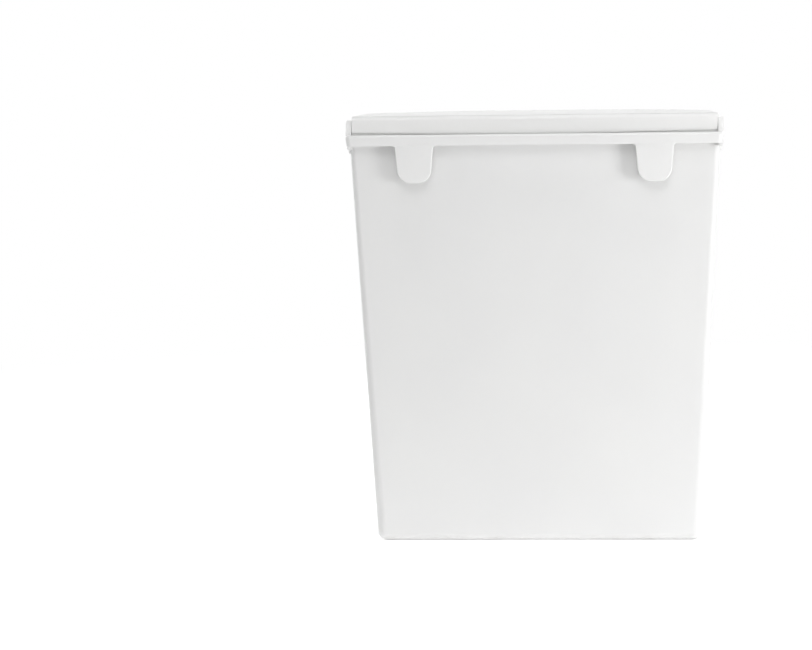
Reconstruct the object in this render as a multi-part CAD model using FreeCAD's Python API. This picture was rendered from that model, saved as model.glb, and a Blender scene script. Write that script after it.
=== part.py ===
import FreeCAD, Part
import math
import os
from FreeCAD import Vector

# Slim lidded kitchen bin that hangs by two tongues from a rail or a cabinet door.
# Millimetres. +Z is up, the front bows towards -Y and the hanging face looks to +Y.
# The origin is on the floor plane, below the middle of the whole object.
# "Depth" always means the distance forwards from the hanging face at the back.

# ---------------------------------------------------------------- overall sizes
RIM_WIDTH = 256.2             # across the rim, which is the widest place
RIM_HEIGHT = 283.8            # floor to the top of the rim
OVERALL_DEPTH = 117.6         # hanging face to the front of the rim
LID_RISE = 16.2               # rim to the highest line of the closed lid, near its front

# ---------------------------------------------------------------- container
WALL = 2.0                    # thickness of the container's walls
FLOOR = 2.4                   # thickness of its floor
BASE_WIDTH = 227.4            # across the base
BASE_FRONT = 96.4             # depth of the base's front
BACK_SETBACK_BASE = 17.9      # depth of the back wall at the floor
BACK_SETBACK_TOP = 9.7        # depth of the back wall below the rim collar
CURVE_START = 57.5            # depth where the straight sides turn into the bowed front
BACK_CORNER_BASE = 6.8        # radius of the upright back corners at the floor
BACK_CORNER_TOP = 4.0         # and below the collar
BASE_ROUNDING = 6.0           # radius where the walls meet the base, outside
INSIDE_ROUNDING = 3.6         # and inside
SHARPEST_CORNER = 0.5         # least radius of an upright corner on an inner face

# ---------------------------------------------------------------- rim collar and lip
COLLAR_HEIGHT = 12.4          # height of the thick band below the rim
COLLAR_DRAFT = 1.3            # how far the band leans in from top to bottom
COLLAR_STEP_SIDE = 0.9        # how far it stands proud of the sides at its lower edge
COLLAR_STEP_FRONT = 1.9       # and of the front
RIM_ROUNDING = 1.5            # radius along the rim's outer top edge
LIP_HEIGHT = 7.5              # height of the lip that closes the back
LIP_DRAFT = 0.9               # how far the lip leans in from top to bottom
LIP_THICKNESS = 2.0           # thickness of the lip at its lower edge, and of the tongues
LIP_LAND = 6.9                # depth of the level strip on top of the lip
CHANNEL_END = 2.0             # thickness of the two walls that close the channel's ends
CHANNEL_SLANT = 2.9           # run of the slanted corner between lip and collar
DECK_THICKNESS = 2.0          # thickness of the web between lip and back wall

# ---------------------------------------------------------------- hanging tongues
TONGUE_SPACING = 162.6        # centre to centre
TONGUE_DROP = 25.2            # length below the lip
TONGUE_ROOT_WIDTH = 26.2      # width at the lip
TONGUE_TAPER = 4.6            # how much narrower the tongue is at its tip, before rounding
TONGUE_TIP_RADIUS = 9.0       # rounding of the two lower corners
TONGUE_ROOT_RADIUS = 2.2      # fillet against the lip
TONGUE_EDGE = 0.8             # softening of the outline on both faces

# ---------------------------------------------------------------- hinge
HINGE_DEPTH = 13.7            # depth of the hinge axis
HINGE_ABOVE_RIM = 6.6         # height of the axis above the rim
PIN_DIAMETER = 4.5
PIN_REACH = 15.0              # length of each pin
PIN_RECESS = 0.6              # how far its end lies below the ear's outer face
PIN_CHAMFER = 0.4
PIN_RUNNING_CLEARANCE = 0.08  # radial, between a pin and its ear
PIN_PRESS = 0.02              # radial interference between a pin and the lid
COUNTERSINK_WIDTH = 0.55      # how much wider than the hole its mouth is, in radius
EAR_THICKNESS = 3.9
EAR_BASE = 15.5               # length of an ear along its foot
EAR_TOP = 8.8                 # and along its top
EAR_ABOVE_AXIS = 3.4
EAR_ROUNDING = 1.6            # radius of its two upper corners
EAR_EDGE = 0.5                # softening of its outer outline
EAR_GAP = 0.25                # side play between ear and lid

# ---------------------------------------------------------------- lid
LID_WALL = 1.8
LID_INSET_SIDE = 1.8          # lid edge to rim edge, at the sides
LID_INSET_FRONT = 2.9         # and at the front
LID_BACK = 7.3                # depth of the lid's back face
LID_DRAFT = 0.5               # how far its faces lean in from bottom to top
LID_GAP = 0.1                 # lower edge to rim
LID_BACK_RISE = 1.6           # how much higher the back edge is at the ears than in the middle
LID_BACK_ROUNDING = 3.0       # radius of the upper edge at the back
LID_SIDE_ROUNDING = 6.4       # growing to this where the sides start to curve
LID_FRONT_ROUNDING = 11.0     # and to this at the middle of the front
NOTCH_PLAY = 1.0              # between an ear's foot and the full-width part of the lid
SWING_CLEARANCE = 0.4         # between the deck and the lid's back edge as it swings
FLANGE_STEP = 0.8             # the lid's back face to the inner flange that closes the view below it
FLANGE_WALL = 1.4
FLANGE_DROP = 0.5             # how far the flange reaches below the rim
GRIP_WIDTH = 70.0             # finger recess under the lid's front edge
GRIP_DEPTH = 1.2
GRIP_HEIGHT = 4.6
RIB_WALL = 1.4                # locating rib below the lid
RIB_DROP = 3.0                # how far it reaches below the rim
RIB_PLAY = 1.2                # between the rib and the inside of the container
RIB_START = 27.0              # depth of its rear ends
BOSS_WALL = 2.2               # wall of the two bosses that hold the pins
BOSS_REACH = 14.0             # length of a boss

# ---------------------------------------------------------------- derived places
HANG_Y = OVERALL_DEPTH / 2
OVERALL_HEIGHT = RIM_HEIGHT + LID_RISE
COLLAR_BOTTOM = RIM_HEIGHT - COLLAR_HEIGHT
LIP_BOTTOM = RIM_HEIGHT - LIP_HEIGHT
RIM_HALF = RIM_WIDTH / 2
HINGE_HEIGHT = RIM_HEIGHT + HINGE_ABOVE_RIM
PIN_RADIUS = PIN_DIAMETER / 2
HOLE_RADIUS = PIN_RADIUS + PIN_RUNNING_CLEARANCE
EAR_INSIDE = RIM_HALF - EAR_THICKNESS
LID_HALF = RIM_HALF - LID_INSET_SIDE
LID_NECK_HALF = EAR_INSIDE - EAR_GAP
LID_FRONT = OVERALL_DEPTH - LID_INSET_FRONT
LID_BOTTOM = RIM_HEIGHT + LID_GAP
NOTCH_DEPTH = HINGE_DEPTH + EAR_BASE / 2 + NOTCH_PLAY
TONGUE_INNER_FACE = LIP_DRAFT + LIP_THICKNESS
SWING_RADIUS = math.hypot(HINGE_DEPTH - LID_BACK, HINGE_HEIGHT - LID_BOTTOM)
DECK_HEIGHT = HINGE_HEIGHT - SWING_RADIUS - SWING_CLEARANCE
CHANNEL_TOP = DECK_HEIGHT - DECK_THICKNESS
BEYOND = 20.0                 # how far cutting tools run past what they cut
SAME = 1e-4                   # places closer together than this are one place


def y_at(depth):
    """Y of a point that lies this far forwards of the hanging face."""
    return HANG_Y - depth


def box(x, depth, z):
    """Box from three (low, high) pairs, with depth measured from the hanging face."""
    corner = Vector(x[0], y_at(depth[1]), z[0])
    return Part.makeBox(x[1] - x[0], depth[1] - depth[0], z[1] - z[0], corner)


def outline(z, half_width, back, front, corner=0.0):
    """Plan outline: flat back, straight sides and a half ellipse for the bowed front."""
    y_back, y_curve, y_front = y_at(back), y_at(CURVE_START), y_at(front)
    centre = Vector(0, y_curve, z)
    bow = Part.Ellipse(Vector(half_width, y_curve, z), Vector(0, y_front, z), centre)
    edges = [
        Part.ArcOfEllipse(bow, 0, math.pi / 2).toShape(),
        Part.ArcOfEllipse(bow, math.pi / 2, math.pi).toShape(),
        Part.makeLine(Vector(-half_width, y_curve, z), Vector(-half_width, y_back - corner, z)),
    ]
    if corner > 0:
        edges.append(corner_arc(-half_width, y_back, z, corner, math.pi, math.pi / 2))
    edges.append(Part.makeLine(Vector(corner - half_width, y_back, z),
                               Vector(half_width - corner, y_back, z)))
    if corner > 0:
        edges.append(corner_arc(half_width, y_back, z, corner, math.pi / 2, 0))
    edges.append(Part.makeLine(Vector(half_width, y_back - corner, z),
                               Vector(half_width, y_curve, z)))
    return Part.Wire(edges)


def corner_arc(x, y, z, radius, start, end):
    """Quarter circle that rounds the back corner at (x, y), from one angle to another."""
    cx = x - math.copysign(radius, x)
    cy = y - radius
    points = []
    for angle in (start, (start + end) / 2, end):
        points.append(Vector(cx + radius * math.cos(angle), cy + radius * math.sin(angle), z))
    return Part.Arc(*points).toShape()


def loft(lower, upper):
    return Part.makeLoft([lower, upper], True, True)


def prism(profile, direction):
    return Part.Face(profile).extrude(direction)


def side_profile(points, x_low, x_high):
    """Solid from (depth, z) points in the side view, drawn out along X."""
    corners = [Vector(x_low, y_at(depth), z) for depth, z in points]
    return prism(Part.makePolygon(corners + corners[:1]), Vector(x_high - x_low, 0, 0))


def edges_where(shape, test):
    """Edges whose every vertex and midpoint pass the test."""
    found = []
    for edge in shape.Edges:
        middle = edge.valueAt((edge.FirstParameter + edge.LastParameter) / 2)
        if all(test(point) for point in [vertex.Point for vertex in edge.Vertexes] + [middle]):
            found.append(edge)
    return found


def near(a, b):
    return abs(a - b) < SAME


def mirrored(shape):
    return shape.mirror(Vector(0, 0, 0), Vector(1, 0, 0))


def pinned_axis(radius, x_low, x_high):
    """Cylinder on the hinge axis between two places along X."""
    start = Vector(x_low, y_at(HINGE_DEPTH), HINGE_HEIGHT)
    return Part.makeCylinder(radius, x_high - x_low, start, Vector(1, 0, 0))


# ---------------------------------------------------------------- container
def body_outline(z, inset=0.0):
    """Outline of the tapered container at a height, inset by a wall where one is given."""
    share = z / COLLAR_BOTTOM
    top_half = RIM_HALF - COLLAR_DRAFT - COLLAR_STEP_SIDE
    top_front = OVERALL_DEPTH - COLLAR_DRAFT - COLLAR_STEP_FRONT
    half_width = BASE_WIDTH / 2 + (top_half - BASE_WIDTH / 2) * share
    back = BACK_SETBACK_BASE + (BACK_SETBACK_TOP - BACK_SETBACK_BASE) * share
    front = BASE_FRONT + (top_front - BASE_FRONT) * share
    corner = BACK_CORNER_BASE + (BACK_CORNER_TOP - BACK_CORNER_BASE) * share
    corner = max(corner - inset, SHARPEST_CORNER)
    return outline(z, half_width - inset, back + inset, front - inset, corner)


def container_block():
    """The container as if it were solid, with its rounded foot."""
    block = loft(body_outline(0), body_outline(RIM_HEIGHT))
    foot = edges_where(block, lambda point: near(point.z, 0))
    return block.makeFillet(BASE_ROUNDING, foot)


def cavity_block():
    """The space inside the container, running out past the rim."""
    block = loft(body_outline(FLOOR, WALL), body_outline(RIM_HEIGHT + BEYOND, WALL))
    foot = edges_where(block, lambda point: near(point.z, FLOOR))
    return block.makeFillet(INSIDE_ROUNDING, foot)


def collar_outline(z):
    share = (RIM_HEIGHT - z) / COLLAR_HEIGHT
    lean = COLLAR_DRAFT * share
    back = LIP_DRAFT * (RIM_HEIGHT - z) / LIP_HEIGHT
    return outline(z, RIM_HALF - lean, back, OVERALL_DEPTH - lean, BACK_CORNER_TOP)


def collar_block():
    """Thick band round the rim, with the lip and the channel behind the back wall."""
    block = loft(collar_outline(COLLAR_BOTTOM), collar_outline(RIM_HEIGHT))
    rim = edges_where(block, lambda point: near(point.z, RIM_HEIGHT))
    block = block.makeFillet(RIM_ROUNDING, rim)
    wall_depth = BACK_SETBACK_TOP
    below_lip = [
        (-BEYOND, COLLAR_BOTTOM - BEYOND),
        (-BEYOND, LIP_BOTTOM),
        (wall_depth, LIP_BOTTOM),
        (wall_depth + CHANNEL_SLANT, COLLAR_BOTTOM),
        (wall_depth + CHANNEL_SLANT, COLLAR_BOTTOM - BEYOND),
    ]
    channel_half = RIM_HALF - CHANNEL_END
    channel = box((-channel_half, channel_half),
                  (TONGUE_INNER_FACE, wall_depth + WALL / 2),
                  (COLLAR_BOTTOM - BEYOND, CHANNEL_TOP))
    return block.cut(side_profile(below_lip, -RIM_WIDTH, RIM_WIDTH)).cut(channel)


def tongue(centre_x):
    """One hanging tongue, with a strip above it that is buried in the lip."""
    root = TONGUE_ROOT_WIDTH / 2
    tip = root - TONGUE_TAPER / 2
    shoulder = root + 2 * TONGUE_ROOT_RADIUS
    top = LIP_BOTTOM + LIP_THICKNESS
    low = LIP_BOTTOM - TONGUE_DROP
    half_outline = [(shoulder, top), (shoulder, LIP_BOTTOM), (root, LIP_BOTTOM), (tip, low)]
    points = half_outline + [(-x, z) for x, z in reversed(half_outline)]
    corners = [Vector(centre_x + x, y_at(TONGUE_INNER_FACE), z) for x, z in points]
    plate = prism(Part.makePolygon(corners + corners[:1]), Vector(0, LIP_THICKNESS, 0))

    def upright_at(x, z):
        return edges_where(plate, lambda point: near(abs(point.x - centre_x), x)
                           and near(point.z, z))

    plate = plate.makeFillet(TONGUE_ROOT_RADIUS, upright_at(root, LIP_BOTTOM))
    plate = plate.makeFillet(TONGUE_TIP_RADIUS, upright_at(tip, low))
    faces = (y_at(LIP_DRAFT), y_at(TONGUE_INNER_FACE))
    rim = edges_where(plate, lambda point: any(near(point.y, face) for face in faces)
                      and point.z < top - LIP_THICKNESS / 2)
    return plate.makeFillet(TONGUE_EDGE, rim)


def ear():
    """The right-hand hinge ear, with its foot running down inside the collar."""
    foot, top = EAR_BASE / 2, EAR_TOP / 2
    ear_top = HINGE_HEIGHT + EAR_ABOVE_AXIS
    points = [
        (HINGE_DEPTH - foot, COLLAR_BOTTOM + CHANNEL_SLANT),
        (HINGE_DEPTH - foot, RIM_HEIGHT),
        (HINGE_DEPTH - top, ear_top),
        (HINGE_DEPTH + top, ear_top),
        (HINGE_DEPTH + foot, RIM_HEIGHT),
        (HINGE_DEPTH + foot, COLLAR_BOTTOM + CHANNEL_SLANT),
    ]
    plate = side_profile(points, EAR_INSIDE, RIM_HALF + BEYOND)
    shoulders = edges_where(plate, lambda point: near(point.z, ear_top)
                            and near(abs(point.y - y_at(HINGE_DEPTH)), top))
    plate = plate.makeFillet(EAR_ROUNDING, shoulders)
    hull = loft(collar_outline(COLLAR_BOTTOM), collar_outline(RIM_HEIGHT))
    hull = hull.fuse(prism(collar_outline(RIM_HEIGHT), Vector(0, 0, ear_top - RIM_HEIGHT + BEYOND)))
    plate = plate.common(hull)
    outer = edges_where(plate, lambda point: near(point.x, RIM_HALF)
                        and point.z > RIM_HEIGHT - SAME)
    outer = [edge for edge in outer if edge.BoundBox.ZMax > RIM_HEIGHT + EAR_ROUNDING]
    return plate.makeFillet(EAR_EDGE, outer)


def ear_hole():
    """Through hole of the right-hand ear and its countersunk mouth."""
    hole = pinned_axis(HOLE_RADIUS, EAR_INSIDE - BEYOND, RIM_HALF + BEYOND)
    mouth = Part.makeCone(HOLE_RADIUS, HOLE_RADIUS + COUNTERSINK_WIDTH, PIN_RECESS,
                          Vector(RIM_HALF - PIN_RECESS, y_at(HINGE_DEPTH), HINGE_HEIGHT),
                          Vector(1, 0, 0))
    return hole.fuse(mouth)


def make_bin_body():
    right_ear = ear()
    body = container_block().fuse([
        collar_block(),
        tongue(-TONGUE_SPACING / 2),
        tongue(TONGUE_SPACING / 2),
    ])
    sunk_deck = box((-EAR_INSIDE, EAR_INSIDE), (LIP_LAND, NOTCH_DEPTH),
                    (DECK_HEIGHT, RIM_HEIGHT + BEYOND))
    body = body.cut([cavity_block(), sunk_deck])
    body = body.fuse([right_ear, mirrored(right_ear)])
    return body.cut([ear_hole(), mirrored(ear_hole())]).removeSplitter()


# ---------------------------------------------------------------- lid
def lid_block(inset=0.0):
    """The lid as if it were solid, or the space inside it where an inset is given."""
    low, high = LID_BOTTOM - BEYOND, OVERALL_HEIGHT + BEYOND
    back = LID_BACK + inset

    def level(z):
        lean = LID_DRAFT * (z - LID_BOTTOM) / (OVERALL_HEIGHT - LID_BOTTOM)
        return outline(z, LID_HALF - inset - lean, back + lean, LID_FRONT - inset - lean)

    block = loft(level(low), level(high))
    back_top = HINGE_HEIGHT + (HINGE_DEPTH - LID_BACK)
    rise = (OVERALL_HEIGHT - back_top) / (LID_FRONT - LID_FRONT_ROUNDING - HINGE_DEPTH)

    def top_at(depth):
        return back_top + rise * (depth - HINGE_DEPTH) - inset

    above = [
        (-BEYOND, top_at(-BEYOND)),
        (LID_FRONT + BEYOND, top_at(LID_FRONT + BEYOND)),
        (LID_FRONT + BEYOND, high + BEYOND),
        (-BEYOND, high + BEYOND),
    ]
    block = block.cut(side_profile(above, -RIM_WIDTH, RIM_WIDTH))

    def on_top(point):
        return near(point.z, top_at(HANG_Y - point.y))

    def radius_at(point):
        if point.y < y_at(CURVE_START) - SAME:
            return LID_FRONT_ROUNDING - inset
        if point.y < y_at(CURVE_START) + SAME:
            return LID_SIDE_ROUNDING - inset
        return LID_BACK_ROUNDING - inset

    return rounded(block, on_top, radius_at)


def rounded(shape, on_edge, radius_at):
    """Round the chosen edges, with a radius that may change along each edge."""
    chosen = edges_where(shape, on_edge)
    document = FreeCAD.newDocument()
    base = document.addObject("Part::Feature", "base")
    base.Shape = shape
    fillet = document.addObject("Part::Fillet", "fillet")
    fillet.Base = base
    radii = []
    for number, edge in enumerate(shape.Edges, start=1):
        if any(edge.isSame(other) for other in chosen):
            start = radius_at(edge.valueAt(edge.FirstParameter))
            end = radius_at(edge.valueAt(edge.LastParameter))
            radii.append((number, start, end))
    fillet.Edges = radii
    document.recompute()
    result = fillet.Shape.copy()
    FreeCAD.closeDocument(document.Name)
    return result


def ear_notches(inset=0.0):
    """The room beside the lid's narrow neck that the two ears stand in."""
    half = LID_NECK_HALF - inset
    notch = box((half, RIM_WIDTH), (-BEYOND, NOTCH_DEPTH + inset),
                (LID_BOTTOM - 2 * BEYOND, OVERALL_HEIGHT + BEYOND))
    return [notch, mirrored(notch)]


def below_lid():
    """Everything under the lid's lower edge, which bows upwards towards the ears."""
    low = LID_BOTTOM - 2 * BEYOND
    flat = box((-RIM_WIDTH, RIM_WIDTH), (NOTCH_DEPTH, LID_FRONT + BEYOND), (low, LID_BOTTOM))
    ends = LID_BOTTOM + LID_BACK_RISE
    y = y_at(NOTCH_DEPTH)
    bow = Part.Arc(Vector(-LID_HALF, y, ends), Vector(0, y, LID_BOTTOM),
                   Vector(LID_HALF, y, ends)).toShape()
    corners = [(LID_HALF, ends), (LID_HALF, low), (-LID_HALF, low), (-LID_HALF, ends)]
    line = Part.makePolygon([Vector(x, y, z) for x, z in corners])
    bowed = prism(Part.Wire([bow] + line.Edges), Vector(0, NOTCH_DEPTH + BEYOND, 0))
    return [flat, bowed]


def locating_rib(solid_lid):
    """Rib that drops inside the container's mouth and centres the closed lid."""
    low = RIM_HEIGHT - RIB_DROP

    def ring(inset):
        wire = body_outline(RIM_HEIGHT, WALL + RIB_PLAY + inset)
        face = Part.Face(wire)
        face.translate(Vector(0, 0, low - RIM_HEIGHT))
        return face.extrude(Vector(0, 0, OVERALL_HEIGHT - low))

    rib = ring(0).cut(ring(RIB_WALL))
    reach = box((-RIM_WIDTH, RIM_WIDTH), (RIB_START, OVERALL_DEPTH),
                (low - BEYOND, OVERALL_HEIGHT + BEYOND))
    return rib.common(reach).common(solid_lid)


def back_flange(solid_lid):
    """Inner flange behind the bowed back edge, between the two ears."""
    near_face = LID_BACK + FLANGE_STEP
    flange = box((-LID_NECK_HALF, LID_NECK_HALF), (near_face, near_face + FLANGE_WALL),
                 (RIM_HEIGHT - FLANGE_DROP, OVERALL_HEIGHT))
    return flange.common(solid_lid)


def pin_boss(solid_lid):
    """Right-hand boss, hung from the lid's top by a web."""
    outer = LID_NECK_HALF
    inner = outer - BOSS_REACH
    boss = pinned_axis(PIN_RADIUS + BOSS_WALL, inner, outer)
    web = box((inner, outer), (HINGE_DEPTH - BOSS_WALL / 2, HINGE_DEPTH + BOSS_WALL / 2),
              (HINGE_HEIGHT, OVERALL_HEIGHT))
    return boss.fuse(web).common(solid_lid)


def make_lid():
    solid_lid = lid_block()
    grip_half = GRIP_WIDTH / 2
    grip_depth = LID_FRONT - LID_WALL - GRIP_DEPTH
    grip_pad = box((-grip_half - LID_WALL, grip_half + LID_WALL), (grip_depth, LID_FRONT),
                   (LID_BOTTOM - BEYOND, LID_BOTTOM + GRIP_HEIGHT + LID_WALL))
    hollow = lid_block(LID_WALL).cut(ear_notches(LID_WALL) + [grip_pad])
    shell = solid_lid.cut([hollow] + ear_notches() + below_lid())
    right_boss = pin_boss(solid_lid)
    lid = shell.fuse([locating_rib(solid_lid), back_flange(solid_lid), right_boss,
                      mirrored(right_boss)])
    bore = pinned_axis(PIN_RADIUS - PIN_PRESS, RIM_HALF - PIN_RECESS - PIN_REACH, RIM_HALF)
    grip = box((-grip_half, grip_half), (CURVE_START, LID_FRONT + BEYOND),
               (LID_BOTTOM - BEYOND, LID_BOTTOM + GRIP_HEIGHT))
    kept = prism(outline(LID_BOTTOM - BEYOND, LID_HALF - GRIP_DEPTH, LID_BACK,
                         LID_FRONT - GRIP_DEPTH), Vector(0, 0, 2 * BEYOND))
    return lid.cut([bore, mirrored(bore), grip.cut(kept)]).removeSplitter()


# ---------------------------------------------------------------- hinge pins
def make_pin():
    """Right-hand hinge pin: pressed into the lid's boss, turning in the ear."""
    outer = RIM_HALF - PIN_RECESS
    pin = pinned_axis(PIN_RADIUS, outer - PIN_REACH, outer)
    ends = edges_where(pin, lambda point: near(point.x, outer) or near(point.x, outer - PIN_REACH))
    return pin.makeChamfer(PIN_CHAMFER, ends)


def main():
    os.makedirs("parts", exist_ok=True)
    right_pin = make_pin()
    nodes = {
        "bin_body": make_bin_body(),
        "lid": make_lid(),
        "right_hinge_pin": right_pin,
        "left_hinge_pin": mirrored(right_pin),
    }
    for name, shape in nodes.items():
        shape.exportStep("parts/" + name + ".step")
        bounds = shape.optimalBoundingBox()
        print(f"{name}: {len(shape.Solids)} solid, valid {shape.isValid()}, "
              f"{shape.Volume / 1000:.1f} cm3, z {bounds.ZMin:.1f} to {bounds.ZMax:.1f}, "
              f"y {bounds.YMin:.1f} to {bounds.YMax:.1f}, x {bounds.XMin:.1f} to {bounds.XMax:.1f}")


main()
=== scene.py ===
# %% [markdown]
# # A hanging kitchen bin in white plastic
#
# The object is a slim container with a flat back, a bowed front and a full hinged lid. Two flat tongues
# behind the rim hang it from a rail or a cupboard door. It is four mouldings: the container, the lid and
# two hinge pins. The engineering model already has their shapes, so this script loads it and keeps every
# solid where it is. What is left for Blender is the finish of each plastic, the small marks that a mould
# leaves, and a plain studio to see it all in.

# %% Load the engineering model
import bmesh
import bpy
import math
from mathutils import Matrix, Vector


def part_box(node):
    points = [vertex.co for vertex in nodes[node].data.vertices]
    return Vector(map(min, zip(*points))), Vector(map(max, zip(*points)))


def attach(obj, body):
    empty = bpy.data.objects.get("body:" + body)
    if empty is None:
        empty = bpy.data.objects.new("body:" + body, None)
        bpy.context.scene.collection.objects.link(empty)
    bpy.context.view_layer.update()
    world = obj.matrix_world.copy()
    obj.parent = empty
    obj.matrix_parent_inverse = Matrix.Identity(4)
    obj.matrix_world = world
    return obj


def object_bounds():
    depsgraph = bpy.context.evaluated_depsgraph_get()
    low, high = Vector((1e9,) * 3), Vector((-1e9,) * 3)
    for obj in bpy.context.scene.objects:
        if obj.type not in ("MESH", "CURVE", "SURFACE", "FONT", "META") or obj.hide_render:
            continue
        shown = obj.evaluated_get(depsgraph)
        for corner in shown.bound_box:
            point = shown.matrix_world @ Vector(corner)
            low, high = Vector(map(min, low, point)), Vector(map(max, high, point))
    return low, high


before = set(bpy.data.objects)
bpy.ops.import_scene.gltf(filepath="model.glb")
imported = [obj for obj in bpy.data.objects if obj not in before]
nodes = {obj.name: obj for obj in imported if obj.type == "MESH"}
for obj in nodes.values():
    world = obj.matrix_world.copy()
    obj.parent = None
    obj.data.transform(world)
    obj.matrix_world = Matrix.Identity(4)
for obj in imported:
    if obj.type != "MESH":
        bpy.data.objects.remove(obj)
cad_low, cad_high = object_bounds()
print("solids:", ", ".join(sorted(nodes)))
print("size in mm:", [round(1000 * side, 1) for side in cad_high - cad_low])

# %% [markdown]
# ## Camera
#
# A slim, tall object looks most like itself through a long lens, because its sides then stay nearly
# parallel. The camera stands 1.2 m behind the bin, just above its rim, and looks a few degrees down. That
# shows the flat back, the hanging tongues and a thin sliver of the lid's top. There is empty room at the
# left of the bin. A small lens shift makes it; turning the camera would too, but then the bin's upright
# edges would lean. The bin doesn't stand quite square to the camera, so the camera goes a few degrees round
# it and rolls by under one.
#
# The place is built up from simple moves: go to the hanging face, turn round the bin, back off, tip down,
# roll.

# %% Camera
MM = 0.001
CAMERA_DISTANCE = 1216.7 * MM
CAMERA_HEIGHT = 293.9 * MM
LENS_MM = 79.76
ORBIT_DEGREES = 2.45
DOWN_DEGREES = 6.55
ROLL_DEGREES = -0.64
SIDE_SHIFT = -0.1598

camera = bpy.data.objects.new("camera", bpy.data.cameras.new("camera"))
bpy.context.scene.collection.objects.link(camera)
camera.data.sensor_width = 36
camera.data.lens = LENS_MM
camera.data.shift_x = SIDE_SHIFT
camera.data.clip_start = 0.05
camera.data.clip_end = 20
hanging_face = Matrix.Translation((0, cad_high.y, CAMERA_HEIGHT))
orbit = Matrix.Rotation(math.pi + math.radians(ORBIT_DEGREES), 4, "Z")
back_off = Matrix.Translation((0, -CAMERA_DISTANCE, 0))
tilt = Matrix.Rotation(math.radians(90 - DOWN_DEGREES), 4, "X")
roll = Matrix.Rotation(math.radians(ROLL_DEGREES), 4, "Z")
camera.matrix_world = hanging_face @ orbit @ back_off @ tilt @ roll
bpy.context.scene.camera = camera
print("camera at", [round(c, 3) for c in camera.matrix_world.translation])

# %% [markdown]
# ## Two helpers for materials
#
# Design files give colours as sRGB hex values, but a shader adds up light, so it wants linear numbers. One
# function turns one into the other. The second adds a node, sets what is asked and links its inputs, so
# that each material below reads like its own recipe. Both could be written out each time, but then the
# recipe would be lost among the node calls.

# %% Colour and node helpers
def linear(hex_colour):
    """The colour #RRGGBB as linear red, green, blue and an alpha of 1."""
    shares = [int(hex_colour[i:i + 2], 16) / 255 for i in (1, 3, 5)]
    return [s / 12.92 if s <= 0.04045 else ((s + 0.055) / 1.055) ** 2.4 for s in shares] + [1]


def add_node(tree, kind, inputs=None, **settings):
    """Adds a node. A value in inputs is either a socket to link from or a plain setting."""
    node = tree.nodes.new(kind)
    for name, value in settings.items():
        setattr(node, name, value)
    for name, value in (inputs or {}).items():
        if isinstance(value, bpy.types.NodeSocket):
            tree.links.new(value, node.inputs[name])
        else:
            node.inputs[name].default_value = value
    return node


print("the container's #EFEFEE in linear:", [round(c, 3) for c in linear("#EFEFEE")])

# %% [markdown]
# ## Moulded polypropylene
#
# The container and lid are injection-moulded white polypropylene, the usual kitchen-box plastic. Hot
# plastic is pressed into a steel mould, so the surface is a cast of that steel. Five things give it away to
# the eye:
#
# - the steel is spark-finished, which leaves a soft sheen and a fine grain;
# - the wall shrinks a little unevenly as it cools, so a long highlight wavers over each hand's width;
# - plastic runs up the wall from the base, which leaves faint streaks in the sheen along that way;
# - light soaks a few millimetres into it, so shadows and thin edges glow a little;
# - the container gathers a trace of dull dirt at its foot.
#
# One flat colour and one roughness would have none of these. Noise on Object coordinates has real sizes in
# metres, needs no wrapping round the shape, and turns with the lid. So one function builds the recipe, and
# the container and the lid call it with their own numbers: the lid was moulded against smoother steel, so
# it has less grain and more gloss. A noise scale is one over the size of its lumps.

# %% Moulded plastic recipe
MIX_A, MIX_B, MIX_RESULT = 6, 7, 2  # a Mix node's colour sockets, whose names its other sockets share
SOIL = linear("#BDBAB2")
SOIL_SHARE = 0.2  # how much of the colour is dirt at the very foot
STREAK_STRETCH = 4  # how many times longer the streaks are up the wall than across it
GLOW_DEPTH = 2.5 * MM  # how far light soaks through the plastic before it comes out again
GLOW_SHARE = 0.35  # the part of the scattered light that does so
POLYPROPYLENE_IOR = 1.49


def per_metre(size_mm):
    """The noise scale whose lumps have this size."""
    return 1 / (size_mm * MM)


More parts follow.
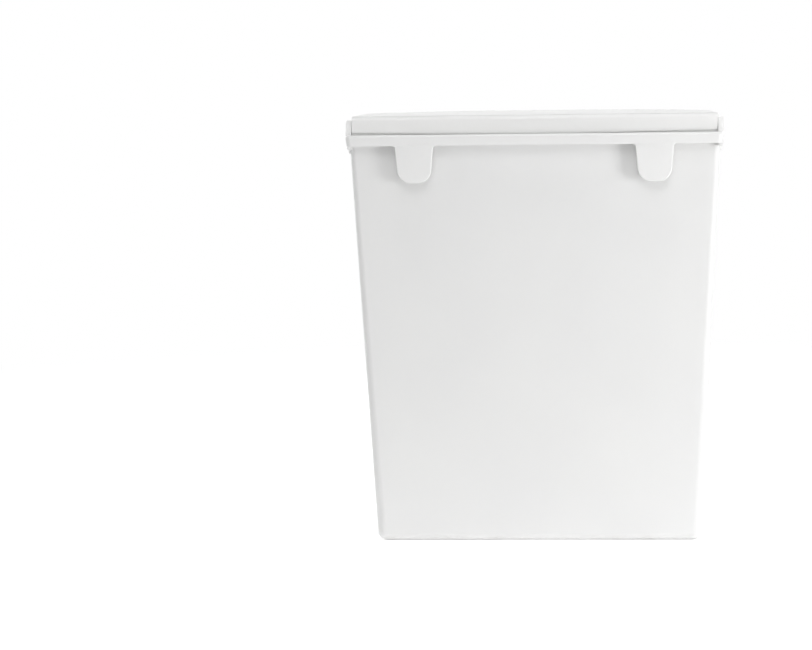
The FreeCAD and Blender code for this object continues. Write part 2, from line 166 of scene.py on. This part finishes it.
def moulded_plastic(name, colour, shade, sheen, grain_mm, wave_mm, soil_height_mm):
    """The recipe. Grain and waves are bump heights, and sheen is the middle roughness."""
    material = bpy.data.materials.new(name)
    material.use_nodes = True
    tree = material.node_tree
    tree.nodes.clear()
    where = add_node(tree, "ShaderNodeTexCoord").outputs["Object"]

    squeezed = (1, 1, 1 / STREAK_STRETCH)
    up_wall = add_node(tree, "ShaderNodeMapping", {"Vector": where, "Scale": squeezed}).outputs[0]
    streaks = add_node(tree, "ShaderNodeTexNoise", {"Vector": up_wall, "Scale": per_metre(18), "Detail": 3})
    waves = add_node(tree, "ShaderNodeTexNoise", {"Vector": where, "Scale": per_metre(70), "Detail": 1})
    scuffs = add_node(tree, "ShaderNodeTexNoise", {"Vector": where, "Scale": per_metre(9), "Detail": 6})
    # The real grain is about 0.2 mm, too fine to show, so it is drawn at 1.4 mm.
    grain = add_node(tree, "ShaderNodeTexNoise", {"Vector": where, "Scale": per_metre(1.4), "Detail": 2})

    # Dirt is strongest at the foot, gone above the soil height, and broken up by the scuffs. Its share also
    # dulls the sheen.
    height = add_node(tree, "ShaderNodeSeparateXYZ", {"Vector": where}).outputs["Z"]
    low = add_node(tree, "ShaderNodeMapRange", {"Value": height, "From Max": soil_height_mm * MM,
                                                "To Min": SOIL_SHARE, "To Max": 0})
    patchy = add_node(tree, "ShaderNodeMapRange", {"Value": scuffs.outputs["Fac"], "From Min": 0.45,
                                                   "From Max": 0.7})
    soil = add_node(tree, "ShaderNodeMath", {0: low.outputs[0], 1: patchy.outputs[0]}, operation="MULTIPLY")

    tint = add_node(tree, "ShaderNodeMix", {"Factor": waves.outputs["Fac"], MIX_A: linear(colour),
                                            MIX_B: linear(shade)}, data_type="RGBA")
    dirty = add_node(tree, "ShaderNodeMix", {"Factor": soil.outputs[0], MIX_A: tint.outputs[MIX_RESULT],
                                             MIX_B: SOIL}, data_type="RGBA")
    rough = add_node(tree, "ShaderNodeMapRange", {"Value": streaks.outputs["Fac"], "From Min": 0.3,
                                                  "From Max": 0.7, "To Min": sheen - 0.05,
                                                  "To Max": sheen + 0.07})
    rougher = add_node(tree, "ShaderNodeMath", {0: soil.outputs[0], 1: rough.outputs[0]}, operation="ADD")
    wavy = add_node(tree, "ShaderNodeBump", {"Height": waves.outputs["Fac"], "Distance": wave_mm * MM})
    grained = add_node(tree, "ShaderNodeBump", {"Height": grain.outputs["Fac"], "Distance": grain_mm * MM,
                                                "Normal": wavy.outputs[0]})
    plastic = add_node(tree, "ShaderNodeBsdfPrincipled",
                       {"Base Color": dirty.outputs[MIX_RESULT], "Roughness": rougher.outputs[0],
                        "Normal": grained.outputs[0], "IOR": POLYPROPYLENE_IOR,
                        "Subsurface Weight": GLOW_SHARE, "Subsurface Radius": (1, 1, 1),
                        "Subsurface Scale": GLOW_DEPTH})
    add_node(tree, "ShaderNodeOutputMaterial", {"Surface": plastic.outputs[0]})
    return material


container_plastic = moulded_plastic("polypropylene_spark_finished", "#EFEFEE", "#EAEAEA", sheen=0.38,
                                    grain_mm=0.02, wave_mm=0.25, soil_height_mm=6)

# The lid's soil height is below the lid, so it stays clean. With a sheen of 0.3 it came out with flecks in
# denoised renders, and 0.34 leaves only faint soft patches.
lid_plastic = moulded_plastic("polypropylene_satin", "#F2F2F1", "#EEEEED", sheen=0.34,
                              grain_mm=0.012, wave_mm=0.2, soil_height_mm=1)
print("made", container_plastic.name, "and", lid_plastic.name)

# %% [markdown]
# ## Acetal for the pins
#
# A hinge pin rubs, so it is made in acetal, a hard and slippery plastic. It looks whiter and sleeker than
# the mouldings around it. Where a pin is cut to length, its end keeps a faint round tool mark. Wave rings
# about the pin's own axis, which lies along X, give that, and a Mapping node centres them on the pin. The
# rings are spaced so that one shows on each small end; more would be too fine to see. A wave texture with a
# scale of one makes about three rings in a metre, so the scale is the rings per metre divided by that.

# %% Acetal
RING_SPACING_MM = 3.77
RINGS_AT_ONE = 20 / (2 * math.pi)  # rings per metre of a wave texture with a scale of one
RING_DEPTH = 0.004 * MM
ACETAL_IOR = 1.48

pin_low, pin_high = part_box("left_hinge_pin")
pin_middle = (Vector(pin_low) + Vector(pin_high)) / 2
acetal = bpy.data.materials.new("acetal_smooth")
acetal.use_nodes = True
tree = acetal.node_tree
tree.nodes.clear()
where = add_node(tree, "ShaderNodeTexCoord").outputs["Object"]
to_axis = (0, -pin_middle.y, -pin_middle.z)
centred = add_node(tree, "ShaderNodeMapping", {"Vector": where, "Location": to_axis})
rings = add_node(tree, "ShaderNodeTexWave", {"Vector": centred.outputs[0], "Distortion": 0.3,
                                             "Scale": per_metre(RING_SPACING_MM) / RINGS_AT_ONE},
                 wave_type="RINGS", rings_direction="X")
cut = add_node(tree, "ShaderNodeBump", {"Height": rings.outputs["Fac"], "Distance": RING_DEPTH})
rubbed = add_node(tree, "ShaderNodeMapRange", {"Value": rings.outputs["Fac"], "To Min": 0.2, "To Max": 0.3})
plastic = add_node(tree, "ShaderNodeBsdfPrincipled",
                   {"Base Color": linear("#F4F4F1"), "Roughness": rubbed.outputs[0],
                    "Normal": cut.outputs[0], "IOR": ACETAL_IOR})
add_node(tree, "ShaderNodeOutputMaterial", {"Surface": plastic.outputs[0]})

# %% Finish the solids
finishes = {"bin_body": container_plastic, "lid": lid_plastic, "left_hinge_pin": acetal,
            "right_hinge_pin": acetal}
for name, finish in finishes.items():
    for slot in nodes[name].material_slots:
        slot.material = finish
print("finished:", {name: finish.name for name, finish in finishes.items()})

# %% [markdown]
# ## Marks that the mould leaves
#
# Steel pins push each moulding off its core, and every pin leaves a shallow round print on the hidden side:
# under the lid and on the container's floor. The plastic enters the container through the middle of that
# floor, where a low round pad hides the gate. They are tenths of a millimetre high, so they could be bump
# in the material. But the lid opens wide and light rakes across them, so they are real relief.
#
# Each starts as a short cone, half sunk in the plastic. Insetting its top and pushing it down leaves the
# raised ring of a pin print. A ray shot at the plastic finds the surface and its slope, so that every print
# lies flat.

# %% One mould mark
MARK_HEIGHT = 0.25 * MM
MARK_TAPER = 0.92  # its top radius over its bottom radius
MARK_SIDES = 40
RING_WIDTH = 0.45 * MM
SAME_WAY = 0.99  # the dot product above which two directions count as one


def mould_mark(bm, solid, x, y, start_z, look, radius):
    """Adds one round print where a ray from (x, y, start_z) meets the solid, and returns the place."""
    place, normal = solid.ray_cast((x, y, start_z), (0, 0, look))[1:3]
    lie = Matrix.Translation(place) @ normal.to_track_quat("Z", "Y").to_matrix().to_4x4()
    made = bmesh.ops.create_cone(bm, cap_ends=True, segments=MARK_SIDES, radius1=radius,
                                 radius2=radius * MARK_TAPER, depth=2 * MARK_HEIGHT, matrix=lie)
    faces = {face for vert in made["verts"] for face in vert.link_faces}
    top = [face for face in faces if face.normal.dot(normal) > SAME_WAY]
    bmesh.ops.inset_region(bm, faces=top, thickness=RING_WIDTH, depth=-MARK_HEIGHT / 2)
    return place


# %% All the marks of one moulding
def mould_marks(name, solid, body, spots, start_z, look):
    """One piece made of all the prints on a solid, each spot being (x, y, radius) in millimetres."""
    bpy.context.view_layer.update()
    bm = bmesh.new()
    places = [mould_mark(bm, solid, x * MM, y * MM, start_z, look, radius * MM) for x, y, radius in spots]
    piece = bpy.data.objects.new(name, bpy.data.meshes.new(name))
    bm.to_mesh(piece.data)
    bm.free()
    bpy.context.scene.collection.objects.link(piece)
    piece.data.materials.append(finishes[solid.name])
    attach(piece, body)
    print(name, "at heights", sorted({round(place.z * 1000, 1) for place in places}), "mm")


# %% Marks under the lid and on the floor
PIN_PRINT = 3  # radius in mm
GATE_PAD = (0, 1.8, 7)  # at the middle of the floor
BELOW_LID = cad_high.z - 25 * MM
ABOVE_FLOOR = 60 * MM


def both_sides(spots):
    """The spots (x, y) and their mirror images, each with the radius of a pin print."""
    return [(side * x, y, PIN_PRINT) for side in (-1, 1) for x, y in spots]


mould_marks("lid_pin_prints", nodes["lid"], "lid",
            both_sides([(28, 18), (28, -30), (80, 18), (72, -16)]), BELOW_LID, look=1)
mould_marks("floor_pin_prints", nodes["bin_body"], "bin",
            both_sides([(36, 22), (36, -20), (88, 22), (74, -2)]) + [GATE_PAD], ABOVE_FLOOR, look=-1)

# %% [markdown]
# ## Floor
#
# The studio floor is a large pale disc. Near the bin it is a plain diffuse surface, so it holds the bin's
# soft shadow and throws light back up at it. The camera and the bin's gloss also see a white glow added to
# it, and farther out only pure white, so the floor runs into the white surround with no edge. The glow is
# seen and never lights the bin. A curved paper backdrop would do the same, but not from every side.

# %% Floor
FLOOR_RADIUS = 6
FLOOR_SIDES = 96
FLOOR_DROP = 0.2 * MM  # keeps the floor from flickering through the base

bm = bmesh.new()
bmesh.ops.create_circle(bm, cap_ends=True, radius=FLOOR_RADIUS, segments=FLOOR_SIDES)
bmesh.ops.translate(bm, verts=bm.verts, vec=(0, 0, cad_low.z - FLOOR_DROP))
floor = bpy.data.objects.new("studio_floor", bpy.data.meshes.new("studio_floor"))
bm.to_mesh(floor.data)
bm.free()
bpy.context.scene.collection.objects.link(floor)
print("floor at z", round(cad_low.z - FLOOR_DROP, 4))


# %% Light that is seen and not felt
def seen_not_felt(tree):
    """1 for rays from the camera, off gloss or through clear parts, and 0 for rays that light things."""
    rays = add_node(tree, "ShaderNodeLightPath")
    either = add_node(tree, "ShaderNodeMath", {0: rays.outputs["Is Camera Ray"],
                                               1: rays.outputs["Is Glossy Ray"]}, operation="MAXIMUM")
    return add_node(tree, "ShaderNodeMath", {0: either.outputs[0],
                                             1: rays.outputs["Is Transmission Ray"]},
                    operation="MAXIMUM").outputs[0]


# %% Floor finish
BOARD_ENDS = 0.45  # from the middle of the floor, where it starts to fade
WHITE_STARTS = 1.1
BOARD_GLOW = 0.42

floor_finish = bpy.data.materials.new("painted_board_white")
floor_finish.use_nodes = True
tree = floor_finish.node_tree
tree.nodes.clear()
seen = seen_not_felt(tree)
where = add_node(tree, "ShaderNodeTexCoord").outputs["Object"]
radius = add_node(tree, "ShaderNodeVectorMath", {0: where}, operation="LENGTH").outputs["Value"]
far = add_node(tree, "ShaderNodeMapRange", {"Value": radius, "From Min": BOARD_ENDS,
                                            "From Max": WHITE_STARTS}, interpolation_type="SMOOTHSTEP")
white_out = add_node(tree, "ShaderNodeMath", {0: far.outputs[0], 1: seen}, operation="MULTIPLY")
board = add_node(tree, "ShaderNodeBsdfDiffuse", {"Color": linear("#F0F0F0")})
lift = add_node(tree, "ShaderNodeMath", {0: seen, 1: BOARD_GLOW}, operation="MULTIPLY")
glow = add_node(tree, "ShaderNodeEmission", {"Strength": lift.outputs[0]})
lifted = add_node(tree, "ShaderNodeAddShader", {0: board.outputs[0], 1: glow.outputs[0]})
backdrop = add_node(tree, "ShaderNodeEmission")
shown = add_node(tree, "ShaderNodeMixShader", {0: white_out.outputs[0], 1: lifted.outputs[0],
                                               2: backdrop.outputs[0]})
add_node(tree, "ShaderNodeOutputMaterial", {"Surface": shown.outputs[0]})
floor.data.materials.append(floor_finish)
print("floor fades to white from", BOARD_ENDS, "to", WHITE_STARTS, "m")

# %% [markdown]
# ## Light
#
# White on white shows its shape only by small differences in light, so every lamp has one job:
#
# - the key stands low at the right of the back, so that each tongue drops a soft shadow to its left;
# - a weak lamp at the far side lifts the other upright edge;
# - a broad one over the camera's shoulder evens out the wall;
# - a smaller one overhead draws the bright line along the lid's rounded back edge;
# - two more do the key's work for the bowed front, so that the bin reads from every side.
#
# A larger lamp has softer shadows, and its size in metres says how soft. Its power could be set by eye.
# Here it is worked out from the level of light on a white surface that faces it, because levels simply add
# up, and a sum near one means white. No lamp is seen by the camera.

# %% Lamps
middle = Vector((0, 0, (cad_low.z + cad_high.z) / 2))


def soft_lamp(name, azimuth, elevation, distance, size, level):
    """A square lamp aimed at the bin, which gives a white surface facing it this level of light."""
    a, e = math.radians(azimuth), math.radians(elevation)
    back = Vector((math.sin(a) * math.cos(e), -math.cos(a) * math.cos(e), math.sin(e)))
    lamp = bpy.data.objects.new(name, bpy.data.lights.new(name, "AREA"))
    lamp.data.shape = "SQUARE"
    lamp.data.size = size
    lamp.data.energy = level * (math.pi * distance) ** 2
    lamp.location = middle + back * distance
    lamp.rotation_euler = back.to_track_quat("Z", "Y").to_euler()
    lamp.visible_camera = False
    bpy.context.scene.collection.objects.link(lamp)
    print(name, round(lamp.data.energy, 1), "W")


soft_lamp("key", azimuth=236, elevation=2, distance=1.0, size=0.32, level=0.405)
soft_lamp("far_side", azimuth=108, elevation=8, distance=1.1, size=0.4, level=0.065)
soft_lamp("over_shoulder", azimuth=180, elevation=40, distance=1.6, size=0.9, level=0.23)
soft_lamp("top", azimuth=180, elevation=80, distance=1.2, size=0.3, level=0.17)
soft_lamp("front_left", azimuth=325, elevation=25, distance=1.5, size=0.8, level=0.42)
soft_lamp("front_right", azimuth=50, elevation=20, distance=1.5, size=0.8, level=0.36)

# %% [markdown]
# ## Light table
#
# The walls get a little brighter towards their foot, as they do on a table that glows from below. A floor
# that really glowed would light the whole bin. A lamp the size of a tray does the job better: it lies on the
# floor under and around the bin and faces up, so the walls catch its light most near their foot.

# %% Light table
TABLE_WIDTH = 540 * MM
TABLE_DEPTH = 400 * MM
TABLE_GLOW = 0.258

table = bpy.data.objects.new("light_table", bpy.data.lights.new("light_table", "AREA"))
table.data.shape = "RECTANGLE"
table.data.size = TABLE_WIDTH
table.data.size_y = TABLE_DEPTH
table.data.energy = TABLE_GLOW * math.pi * TABLE_WIDTH * TABLE_DEPTH
table.location = (0, 0, cad_low.z - FLOOR_DROP / 2)
table.rotation_euler = (math.pi, 0, 0)  # a lamp shines down until it is turned over
table.visible_camera = False
bpy.context.scene.collection.objects.link(table)
print("light table", round(table.data.energy, 2), "W")

# %% [markdown]
# ## Surround
#
# The rest of the light comes evenly from all round, from a white world. What the camera sees of the world,
# and what gloss reflects, is full white. What lights the bin is weaker, or the lamps' shadows would be lost
# in it.

# %% Surround
SURROUND_LEVEL = 0.27
world = bpy.data.worlds.new("studio_surround")
world.use_nodes = True
bpy.context.scene.world = world
tree = world.node_tree
tree.nodes.clear()
strength = add_node(tree, "ShaderNodeMapRange", {"Value": seen_not_felt(tree), "To Min": SURROUND_LEVEL})
even = add_node(tree, "ShaderNodeBackground", {"Strength": strength.outputs[0], "Color": (1, 1, 1, 1)})
add_node(tree, "ShaderNodeOutputWorld", {"Surface": even.outputs[0]})
bpy.context.scene.view_settings.view_transform = "Standard"
print("surround level", SURROUND_LEVEL)
